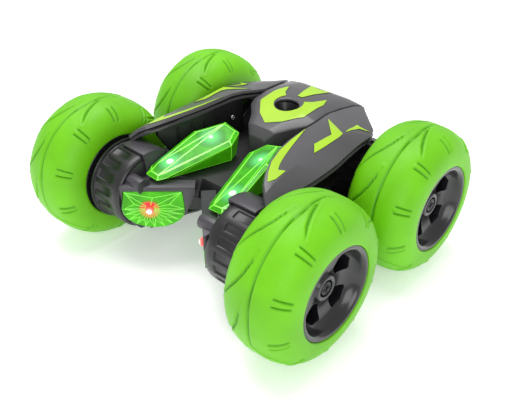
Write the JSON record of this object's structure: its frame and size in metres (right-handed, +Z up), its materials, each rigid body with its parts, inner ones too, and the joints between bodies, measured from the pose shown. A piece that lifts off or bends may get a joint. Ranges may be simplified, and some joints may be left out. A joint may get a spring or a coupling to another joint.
{
  "type": "stunt car",
  "caption": "Low double-sided stunt car on large soft balloon tyres, with winged shells above and below, crystal light bars and a geared motor drive at each wheel.",
  "frame": {"origin": "centre of the footprint, on the ground under the middle of the wheelbase", "axes": "+Z up, +X to the car's right across the axles, front towards -Y"},
  "size_m": [0.186, 0.1674, 0.08],
  "materials": {
    "tyre": "soft bright lime rubber with moulded sweeping grooves",
    "rim": "black moulded plastic, satin",
    "shell": "dark grey moulded plastic with yellow-green graphics",
    "chassis": "black moulded plastic",
    "housing": "dark grey moulded plastic",
    "clear_green": "clear green plastic, lit from inside",
    "red_led": "red lamp bulb",
    "steel": "plain steel",
    "bronze": "sintered bronze",
    "nylon": "natural white nylon",
    "board": "green circuit board with black chips",
    "battery": "blue heat-shrink wrap round two cells"
  },
  "bodies": {
    "chassis": {"axle_bush_front_left": "bronze", "gearbox_front_left": "chassis", "gearbox_cover_front_left": "housing", "motor_front_left": "steel", "axle_bush_front_right": "bronze", "gearbox_front_right": "chassis", "gearbox_cover_front_right": "housing", "motor_front_right": "steel", "axle_bush_rear_left": "bronze", "gearbox_rear_left": "chassis", "gearbox_cover_rear_left": "housing", "motor_rear_left": "steel", "axle_bush_rear_right": "bronze", "gearbox_rear_right": "chassis", "gearbox_cover_rear_right": "housing", "motor_rear_right": "steel", "chassis_upper": "chassis", "chassis_lower": "chassis", "cockpit_top": "shell", "cockpit_bottom": "shell", "battery_pack": "battery", "circuit_board": "board", "wing_top_left": "shell", "wing_bottom_left": "shell", "light_bar_top_left": "clear_green", "light_bar_bottom_left": "clear_green", "lamp_lens_left": "clear_green", "lamp_led_left": "red_led", "wing_top_right": "shell", "wing_bottom_right": "shell", "light_bar_top_right": "clear_green", "light_bar_bottom_right": "clear_green", "lamp_lens_right": "clear_green", "lamp_led_right": "red_led"},
    "wheel_front_left": {"tyre_front_left": "tyre", "rim_front_left": "rim", "axle_front_left": "steel", "axle_gear_front_left": "nylon", "wheel_screw_front_left": "steel"},
    "pinion_front_left": {"motor_pinion_front_left": "bronze"},
    "wheel_front_right": {"tyre_front_right": "tyre", "rim_front_right": "rim", "axle_front_right": "steel", "axle_gear_front_right": "nylon", "wheel_screw_front_right": "steel"},
    "pinion_front_right": {"motor_pinion_front_right": "bronze"},
    "wheel_rear_left": {"tyre_rear_left": "tyre", "rim_rear_left": "rim", "axle_rear_left": "steel", "axle_gear_rear_left": "nylon", "wheel_screw_rear_left": "steel"},
    "pinion_rear_left": {"motor_pinion_rear_left": "bronze"},
    "wheel_rear_right": {"tyre_rear_right": "tyre", "rim_rear_right": "rim", "axle_rear_right": "steel", "axle_gear_rear_right": "nylon", "wheel_screw_rear_right": "steel"},
    "pinion_rear_right": {"motor_pinion_rear_right": "bronze"},
    "power_switch": {"power_switch": "housing"},
    "battery_door": {"battery_door": "shell"}
  },
  "joints": [
    {"name": "wheel_spin_front_left", "type": "hinge", "parent": "chassis", "child": "wheel_front_left", "pos_m": [0, -0.04365, 0.04], "axis": [1, 0, 0], "continuous": true},
    {"name": "pinion_spin_front_left", "type": "hinge", "parent": "chassis", "child": "pinion_front_left", "pos_m": [0, -0.03145, 0.04], "axis": [1, 0, 0], "continuous": true},
    {"name": "wheel_spin_front_right", "type": "hinge", "parent": "chassis", "child": "wheel_front_right", "pos_m": [0, -0.04365, 0.04], "axis": [1, 0, 0], "continuous": true},
    {"name": "pinion_spin_front_right", "type": "hinge", "parent": "chassis", "child": "pinion_front_right", "pos_m": [0, -0.03145, 0.04], "axis": [1, 0, 0], "continuous": true},
    {"name": "wheel_spin_rear_left", "type": "hinge", "parent": "chassis", "child": "wheel_rear_left", "pos_m": [0, 0.04365, 0.04], "axis": [1, 0, 0], "continuous": true},
    {"name": "pinion_spin_rear_left", "type": "hinge", "parent": "chassis", "child": "pinion_rear_left", "pos_m": [0, 0.03145, 0.04], "axis": [1, 0, 0], "continuous": true},
    {"name": "wheel_spin_rear_right", "type": "hinge", "parent": "chassis", "child": "wheel_rear_right", "pos_m": [0, 0.04365, 0.04], "axis": [1, 0, 0], "continuous": true},
    {"name": "pinion_spin_rear_right", "type": "hinge", "parent": "chassis", "child": "pinion_rear_right", "pos_m": [0, 0.03145, 0.04], "axis": [1, 0, 0], "continuous": true},
    {"name": "power_switch_slide", "type": "slide", "parent": "chassis", "child": "power_switch", "axis": [0, 1, 0], "range_m": [0, 0.003]},
    {"name": "battery_door_hinge", "type": "hinge", "parent": "chassis", "child": "battery_door", "pos_m": [0, 0.0309, 0.0123], "axis": [-1, 0, 0], "range_deg": [0, 100]}
  ],
  "couplings": [
    {"joint": "pinion_spin_front_left", "follows": "wheel_spin_front_left", "ratio": -3},
    {"joint": "pinion_spin_front_right", "follows": "wheel_spin_front_right", "ratio": -3},
    {"joint": "pinion_spin_rear_left", "follows": "wheel_spin_rear_left", "ratio": -3},
    {"joint": "pinion_spin_rear_right", "follows": "wheel_spin_rear_right", "ratio": -3}
  ]
}
